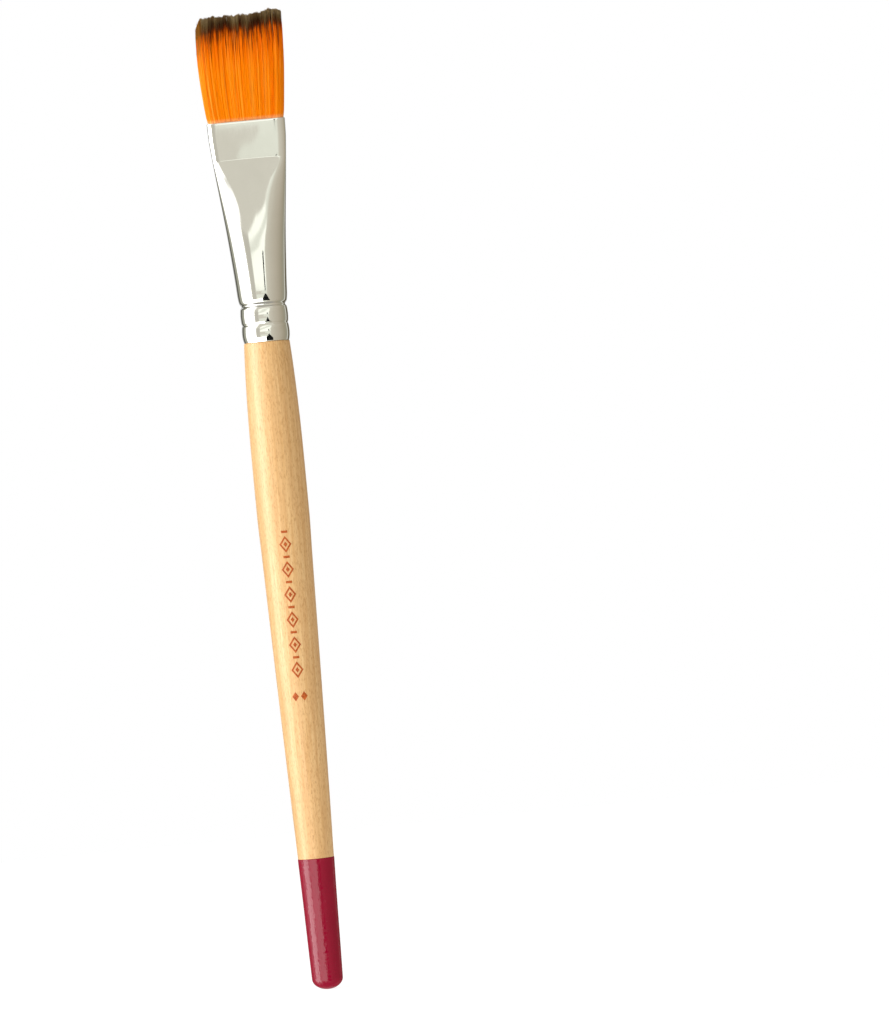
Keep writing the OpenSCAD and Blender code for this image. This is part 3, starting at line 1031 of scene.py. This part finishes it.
def lock_shape(number):
    """Paths, radii and attributes of the filaments of one lock."""
    rng = np.random.default_rng(100 + number)
    low, high = -1 + 2 * (number - 1) / len(LOCKS), -1 + 2 * number / len(LOCKS)
    share, deep = scattered(rng, low, high)
    clump = clumped(rng, low, high, share, deep)
    top = tip_heights(rng, share, deep, clump)
    held = np.repeat(HELD_ROWS[None, :], FILAMENTS, 0)
    height = np.hstack([held, top[:, None] * FREE_SHARES])
    path = filament_paths(rng, share, deep, clump, height)
    taper = smooth_step(height / top[:, None], TAPER_FROM, 1.0)
    radius = FILAMENT_R + (TIP_R - FILAMENT_R) * taper
    return path, radius, filament_colours(rng, share, clump, height, top)


def make_lock(number, material):
    path, radius, values = lock_shape(number)
    count, rows = radius.shape
    angle = np.arange(SIDES) * 2 * math.pi / SIDES
    round_shape = np.stack([np.cos(angle), np.sin(angle), np.zeros(SIDES)], -1)
    points = (path[:, :, None, :] + radius[:, :, None, None] * round_shape).reshape(-1, 3)
    starts = np.arange(count)[:, None, None] * rows * SIDES
    faces = (ring_faces(rows, SIDES)[None] + starts).reshape(-1, 4).tolist()
    foot = np.arange(SIDES)[::-1]
    head = np.arange(SIDES) + (rows - 1) * SIDES
    for cap in (foot, head):
        faces += (cap[None] + starts[:, 0]).tolist()
    piece = make_piece(f"filaments_{number:02d}", points, faces, material)
    for name, value in values.items():
        attribute = piece.data.attributes.new(name, "FLOAT", "POINT")
        attribute.data.foreach_set("value", np.repeat(value.ravel(), SIDES).astype(np.float32))
    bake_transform(piece)
    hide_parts(f"lock_{number:02d}", f"root_{number:02d}")


# ---------------------------------------------------------------- materials

WOOD_TAN, WOOD_PALE = rgb(230, 181, 118), rgb(243, 202, 143)
WOOD_DARK, WOOD_PORE = rgb(201, 141, 79), rgb(176, 116, 60)
# How strongly year rings, flecks and pores darken the wood, and how many rings there are.
RINGS_SHOW, FLECKS_SHOW, PORES_SHOW, RING_COUNT = 0.24, 0.6, 0.7, 34.0


def wood_material():
    """Pale wood with fine grain along the handle, under a thin clear coat."""
    material, tree = new_material("lacquered_birch")
    year = noise(tree, (0.4, 0.4, 0.012), 2.0)
    grain = noise(tree, (2.0, 2.0, 0.06), 4.0, 0.6)
    flecks = ranged(tree, noise(tree, (4.5, 4.5, 1.0), 2.0, 0.6), 0.5, 0.33, smooth=True)
    pores = ranged(tree, noise(tree, (9.0, 9.0, 0.8), 2.0), 0.36, 0.28, smooth=True)
    rings = ranged(tree, calc(tree, "SINE", calc(tree, "MULTIPLY", year, RING_COUNT)), -1, 1)
    colour = mixed(tree, ranged(tree, grain, 0.35, 0.68), WOOD_TAN, WOOD_PALE)
    colour = mixed(tree, calc(tree, "MULTIPLY", rings, RINGS_SHOW), colour, WOOD_DARK)
    colour = mixed(tree, calc(tree, "MULTIPLY", flecks, FLECKS_SHOW), colour, WOOD_DARK)
    colour = mixed(tree, calc(tree, "MULTIPLY", pores, PORES_SHOW), colour, WOOD_PORE)
    shader = principled(tree, {
        "Base Color": colour, "Roughness": 0.5, "Specular IOR Level": 0.3,
        "Coat Weight": 0.42, "Coat Roughness": 0.3,
    })
    height = calc(tree, "SUBTRACT", grain, calc(tree, "MULTIPLY", pores, 0.6))
    feed(tree, shader.inputs["Normal"], bump(tree, height, 0.5, 0.02 * MM))
    return material


def dip_material():
    """Burgundy lacquer, whose glossy coat is a little uneven and holds some dust."""
    material, tree = new_material("burgundy_lacquer")
    cloud = noise(tree, (0.3, 0.3, 0.12), 2.0)
    shader = principled(tree, {
        "Base Color": mixed(tree, cloud, rgb(138, 4, 38), rgb(154, 8, 46)),
        "Roughness": 0.5, "Specular IOR Level": 0.0,
        "Coat Weight": 0.58, "Coat Roughness": 0.04, "Coat IOR": 1.5,
    })
    peel = noise(tree, (1.7, 1.7, 1.7), 2.0)
    dust = ranged(tree, noise(tree, (3.2, 3.2, 3.2), 0.0), 0.72, 0.82, 0.0, 0.5)
    fine = noise(tree, (4.6, 4.6, 4.6), 1.0)
    uneven = calc(tree, "MULTIPLY_ADD", fine, 0.16, calc(tree, "ADD", peel, dust))
    wave = bump(tree, uneven, 1.0, 0.055 * MM)
    feed(tree, shader.inputs["Normal"], wave)
    feed(tree, shader.inputs["Coat Normal"], wave)
    return material


def foil_material():
    """Brown foil, with paler patches scattered by noise that are a painted highlight."""
    material, tree = new_material("brown_foil")
    # Paler patches scattered by noise: a painted highlight on the foil.
    painted_glint = ranged(tree, noise(tree, (3.0, 3.0, 3.0)), 0.35, 0.7)
    colour = mixed(tree, painted_glint, rgb(164, 68, 16), rgb(206, 104, 40))
    principled(tree, {"Base Color": colour, "Roughness": 0.5, "Specular IOR Level": 0.3})
    return material


def metal_material():
    """Bright nickel with fine rubbing marks along the ferrule."""
    material, tree = new_material("nickel_plate")
    cloud = noise(tree, (0.25, 0.25, 0.2))
    rub = noise(tree, (6.0, 6.0, 0.6))
    colour = mixed(tree, cloud, rgb(232, 231, 223), rgb(242, 241, 234))
    rough = ranged(tree, rub, 0.3, 0.7, 0.04, 0.085)
    shader = principled(tree, {"Base Color": colour, "Metallic": 1.0, "Roughness": rough})
    feed(tree, shader.inputs["Normal"], bump(tree, rub, 0.15, 0.004 * MM))
    return material


# Colours of the filaments: the orange by tone, and the dyed tips from the start of the dye to the
# very tip, in dark patches and in pale ones that are painted highlights. Both grow lighter at the
# very tip, a painted light on the tips' tops.
ORANGE = [(0.1, rgb(244, 112, 0)), (0.5, rgb(255, 140, 0)), (0.95, rgb(255, 168, 60))]
DEEP_ORANGE, PALE_ORANGE, GOLDEN = rgb(244, 96, 0), rgb(255, 200, 150), rgb(170, 112, 40)
# The lighter last stop of each ramp is painted light on the tips' top surfaces.
DARK_DYE = [
    (0.12, rgb(168, 42, 2)), (0.38, rgb(76, 18, 4)), (0.7, rgb(42, 20, 8)), (1.0, rgb(122, 96, 62)),
]
# Paler dye colours: a painted highlight on the tips.
HIGHLIT_DYE = [
    (0.12, rgb(196, 70, 6)), (0.38, rgb(118, 52, 16)), (0.7, rgb(116, 92, 54)),
    (1.0, rgb(172, 150, 110)),
]


def attribute(tree, name):
    return add(tree, "Attribute", attribute_name=name).outputs["Fac"]


def filament_material():
    """Orange filaments, deeper upwards and pale just over the mouth, with dyed tips that carry
    painted highlights.
    """
    material, tree = new_material("dyed_filaments")
    along, tone, dye = [attribute(tree, name) for name in ("along", "tone", "dye")]
    highlight_patch, gold = [attribute(tree, name) for name in ("highlight_patch", "gold")]
    deeper = ranged(tree, along, 0.45, 0.85, 0.0, 0.6)
    colour = mixed(tree, deeper, ramped(tree, tone, ORANGE), DEEP_ORANGE)
    colour = mixed(tree, ranged(tree, along, 0.035, 0.0, 0.0, 0.6), colour, PALE_ORANGE)
    # Painted highlights: the paler dye colours, in patches.
    highlight_share = ranged(tree, highlight_patch, 0.2, 0.8, smooth=True)
    brown = mixed(tree, highlight_share, ramped(tree, dye, DARK_DYE), ramped(tree, dye, HIGHLIT_DYE))
    brown = mixed(tree, calc(tree, "MULTIPLY", gold, 0.8), brown, GOLDEN)
    colour = mixed(tree, ranged(tree, dye, 0.02, 0.4, smooth=True), colour, brown)
    principled(tree, {
        "Base Color": colour, "Roughness": 0.42,
        "Specular IOR Level": 0.22, "Specular Tint": rgb(255, 160, 60),
    })
    return material


def plain_inside(name, dark, light, roughness):
    """Cloudy material for what is hidden in the ferrule."""
    material, tree = new_material(name)
    cloud = noise(tree, (0.8, 0.8, 0.8), 4.0)
    colour = mixed(tree, cloud, dark, light)
    shader = principled(tree, {"Base Color": colour, "Roughness": roughness})
    feed(tree, shader.inputs["Normal"], bump(tree, cloud, 0.4, 0.05 * MM))
    return material


def dress_inside():
    """The cement keeps its CAD mesh and gets a material."""
    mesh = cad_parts["tenon_glue"].data
    mesh.materials.clear()
    mesh.materials.append(plain_inside("cement", rgb(206, 192, 148), rgb(232, 222, 184), 0.8))


# ---------------------------------------------------------------- the scene

make_camera()
make_world()
make_lights()
make_floor()
wood = wood_curve()
make_handle(wood)
make_dip(wood)
make_foil_marks(wood)
metal_sizes = ferrule_sizes()
make_ferrule(metal_sizes)
make_plug(metal_sizes)
filament = filament_material()
for lock_number in range(1, len(LOCKS) + 1):
    make_lock(lock_number, filament)
dress_inside()
